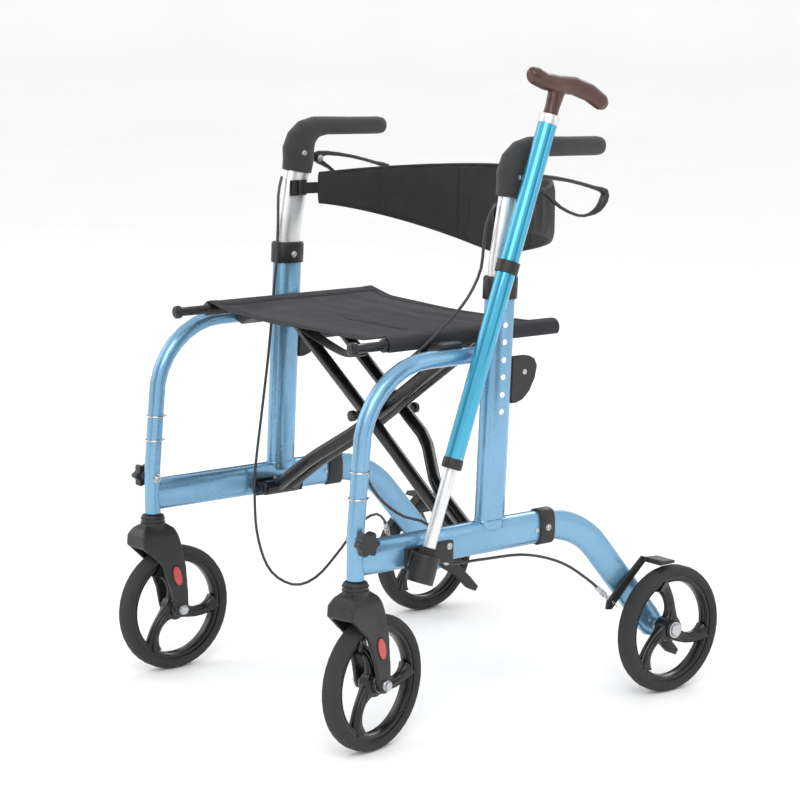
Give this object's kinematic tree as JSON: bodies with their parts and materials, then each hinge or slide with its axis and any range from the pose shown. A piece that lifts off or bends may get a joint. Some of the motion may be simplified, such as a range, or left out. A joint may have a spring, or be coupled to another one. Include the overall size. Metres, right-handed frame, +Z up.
{
  "type": "rollator walker",
  "caption": "Folding four-wheeled walker with sling seat, padded back strap, height-adjustable loop-brake handles, swivel front casters and a clipped-on walking cane.",
  "frame": {"origin": "centre of the whole walker's footprint box, on the floor", "axes": "+Z up, -Y the walker's front, +X the user's left side"},
  "size_m": [0.641, 0.7457, 0.9719],
  "materials": {
    "blue_paint": "metallic satin",
    "cane_blue": "metallic gloss",
    "silver_tube": "satin anodised",
    "steel": "brushed",
    "brace_black": "gloss black",
    "black_plastic": "fine texture",
    "grip_foam": "soft matt",
    "tyre": "smooth",
    "rim_plastic": "satin",
    "cable_jacket": "satin",
    "seat_cloth": "woven",
    "back_cloth": "quilted",
    "wood": "varnished walnut",
    "tip_rubber": "matt"
  },
  "bodies": {
    "frame_left": {"left_front_tube": "blue_paint", "left_lower_rail": "blue_paint", "left_upright_tube": "blue_paint", "left_rear_leg": "blue_paint", "left_rail_collar": "black_plastic", "left_post_collar": "black_plastic", "left_curb_lever": "black_plastic", "left_seat_saddle": "black_plastic", "left_rear_fin": "black_plastic", "left_brace_bracket": "steel", "left_rear_axle": "steel", "left_brake_cable": "cable_jacket", "cane_clip": "black_plastic", "cane_cup": "black_plastic"},
    "post_left": {"left_handle_post": "silver_tube", "left_handle_grip": "grip_foam", "left_back_pad": "back_cloth"},
    "brake_lever_left": {"left_brake_lever": "black_plastic"},
    "brake_arm_left": {"left_brake_arm": "black_plastic"},
    "caster_left": {"left_caster_fork": "black_plastic", "left_front_axle": "steel"},
    "front_wheel_left": {"left_front_tyre": "tyre", "left_front_rim": "rim_plastic"},
    "rear_wheel_left": {"left_rear_tyre": "tyre", "left_rear_rim": "rim_plastic"},
    "knob_left": {"left_star_knob": "black_plastic"},
    "frame_right": {"right_front_tube": "blue_paint", "right_lower_rail": "blue_paint", "right_upright_tube": "blue_paint", "right_rear_leg": "blue_paint", "right_rail_collar": "black_plastic", "right_post_collar": "black_plastic", "right_curb_lever": "black_plastic", "right_seat_saddle": "black_plastic", "right_rear_fin": "black_plastic", "right_brace_bracket": "steel", "right_rear_axle": "steel", "right_brake_cable": "cable_jacket"},
    "post_right": {"right_handle_post": "silver_tube", "right_handle_grip": "grip_foam", "right_back_pad": "back_cloth"},
    "brake_lever_right": {"right_brake_lever": "black_plastic"},
    "brake_arm_right": {"right_brake_arm": "black_plastic"},
    "caster_right": {"right_caster_fork": "black_plastic", "right_front_axle": "steel"},
    "front_wheel_right": {"right_front_tyre": "tyre", "right_front_rim": "rim_plastic"},
    "rear_wheel_right": {"right_rear_tyre": "tyre", "right_rear_rim": "rim_plastic"},
    "knob_right": {"right_star_knob": "black_plastic"},
    "brace_a": {"brace_a": "brace_black", "right_seat_rail": "brace_black", "right_seat_panel": "seat_cloth"},
    "brace_b": {"brace_b": "brace_black", "left_seat_rail": "brace_black", "left_seat_panel": "seat_cloth"},
    "cane": {"cane_shaft": "cane_blue", "cane_handle": "wood"},
    "cane_lower": {"cane_lower_tube": "silver_tube", "cane_tip": "tip_rubber"}
  },
  "joints": [
    {"name": "fold", "type": "hinge", "parent": "frame_left", "child": "brace_a", "pos_m": [0.232, -0.0861, 0.278], "axis": [0, 1, 0], "range_deg": [0, 31], "deforming": ["left_seat_panel", "right_seat_panel", "left_back_pad", "right_back_pad"]},
    {"name": "fold_crossing", "type": "hinge", "parent": "brace_a", "child": "brace_b", "pos_m": [0, -0.0538, 0.4322], "axis": [0, 1, 0], "range_deg": [-62, 0]},
    {"name": "fold_right", "type": "hinge", "parent": "brace_b", "child": "frame_right", "pos_m": [-0.232, -0.0861, 0.278], "axis": [0, 1, 0], "range_deg": [0, 31]},
    {"name": "handle_height_left", "type": "slide", "parent": "frame_left", "child": "post_left", "axis": [0, 0.04, 0.9992], "range_m": [0, 0.127], "deforming": ["left_brake_cable"]},
    {"name": "brake_lever_left", "type": "hinge", "parent": "post_left", "child": "brake_lever_left", "pos_m": [0.262, 0.0092, 0.803], "axis": [1, 0, 0], "range_deg": [0, 17], "stiffness_Nm_per_rad": 3},
    {"name": "brake_arm_left", "type": "hinge", "parent": "frame_left", "child": "brake_arm_left", "pos_m": [0.277, 0.2082, 0.183], "axis": [1, 0, 0], "range_deg": [-5.5, 0]},
    {"name": "caster_swivel_left", "type": "hinge", "parent": "frame_left", "child": "caster_left", "pos_m": [0.262, -0.3118, 0.24], "axis": [0, 0, 1], "continuous": true},
    {"name": "front_wheel_spin_left", "type": "hinge", "parent": "caster_left", "child": "front_wheel_left", "pos_m": [0.25393, -0.27385, 0.09969], "axis": [0.9781, 0.2079, 0], "continuous": true},
    {"name": "rear_wheel_spin_left", "type": "hinge", "parent": "frame_left", "child": "rear_wheel_left", "pos_m": [0.301, 0.2732, 0.09969], "axis": [1, 0, 0], "continuous": true},
    {"name": "knob_turn_left", "type": "hinge", "parent": "frame_left", "child": "knob_left", "pos_m": [0.288, -0.3118, 0.315], "axis": [1, 0, 0], "continuous": true},
    {"name": "handle_height_right", "type": "slide", "parent": "frame_right", "child": "post_right", "axis": [0, 0.04, 0.9992], "range_m": [0, 0.127], "deforming": ["right_brake_cable"]},
    {"name": "brake_lever_right", "type": "hinge", "parent": "post_right", "child": "brake_lever_right", "pos_m": [-0.262, 0.0092, 0.803], "axis": [1, 0, 0], "range_deg": [0, 17], "stiffness_Nm_per_rad": 3},
    {"name": "brake_arm_right", "type": "hinge", "parent": "frame_right", "child": "brake_arm_right", "pos_m": [-0.277, 0.2082, 0.183], "axis": [1, 0, 0], "range_deg": [-5.5, 0]},
    {"name": "caster_swivel_right", "type": "hinge", "parent": "frame_right", "child": "caster_right", "pos_m": [-0.262, -0.3118, 0.24], "axis": [0, 0, 1], "continuous": true},
    {"name": "front_wheel_spin_right", "type": "hinge", "parent": "caster_right", "child": "front_wheel_right", "pos_m": [-0.26335, -0.27302, 0.09969], "axis": [0.9994, 0.0349, 0], "continuous": true},
    {"name": "rear_wheel_spin_right", "type": "hinge", "parent": "frame_right", "child": "rear_wheel_right", "pos_m": [-0.301, 0.2732, 0.09969], "axis": [1, 0, 0], "continuous": true},
    {"name": "knob_turn_right", "type": "hinge", "parent": "frame_right", "child": "knob_right", "pos_m": [-0.288, -0.3118, 0.315], "axis": [1, 0, 0], "continuous": true},
    {"name": "cane_lift", "type": "slide", "parent": "frame_left", "child": "cane", "axis": [0, 0.335, 0.9422], "range_m": [0, 0.22]},
    {"name": "cane_length", "type": "slide", "parent": "cane", "child": "cane_lower", "axis": [0, 0.335, 0.9422], "range_m": [0, 0.09]}
  ],
  "couplings": [
    {"joint": "fold_crossing", "follows": "fold", "ratio": -2},
    {"joint": "fold_right", "follows": "fold", "ratio": 1},
    {"joint": "brake_arm_left", "follows": "brake_lever_left", "ratio": -0.32},
    {"joint": "brake_arm_right", "follows": "brake_lever_right", "ratio": -0.32}
  ]
}
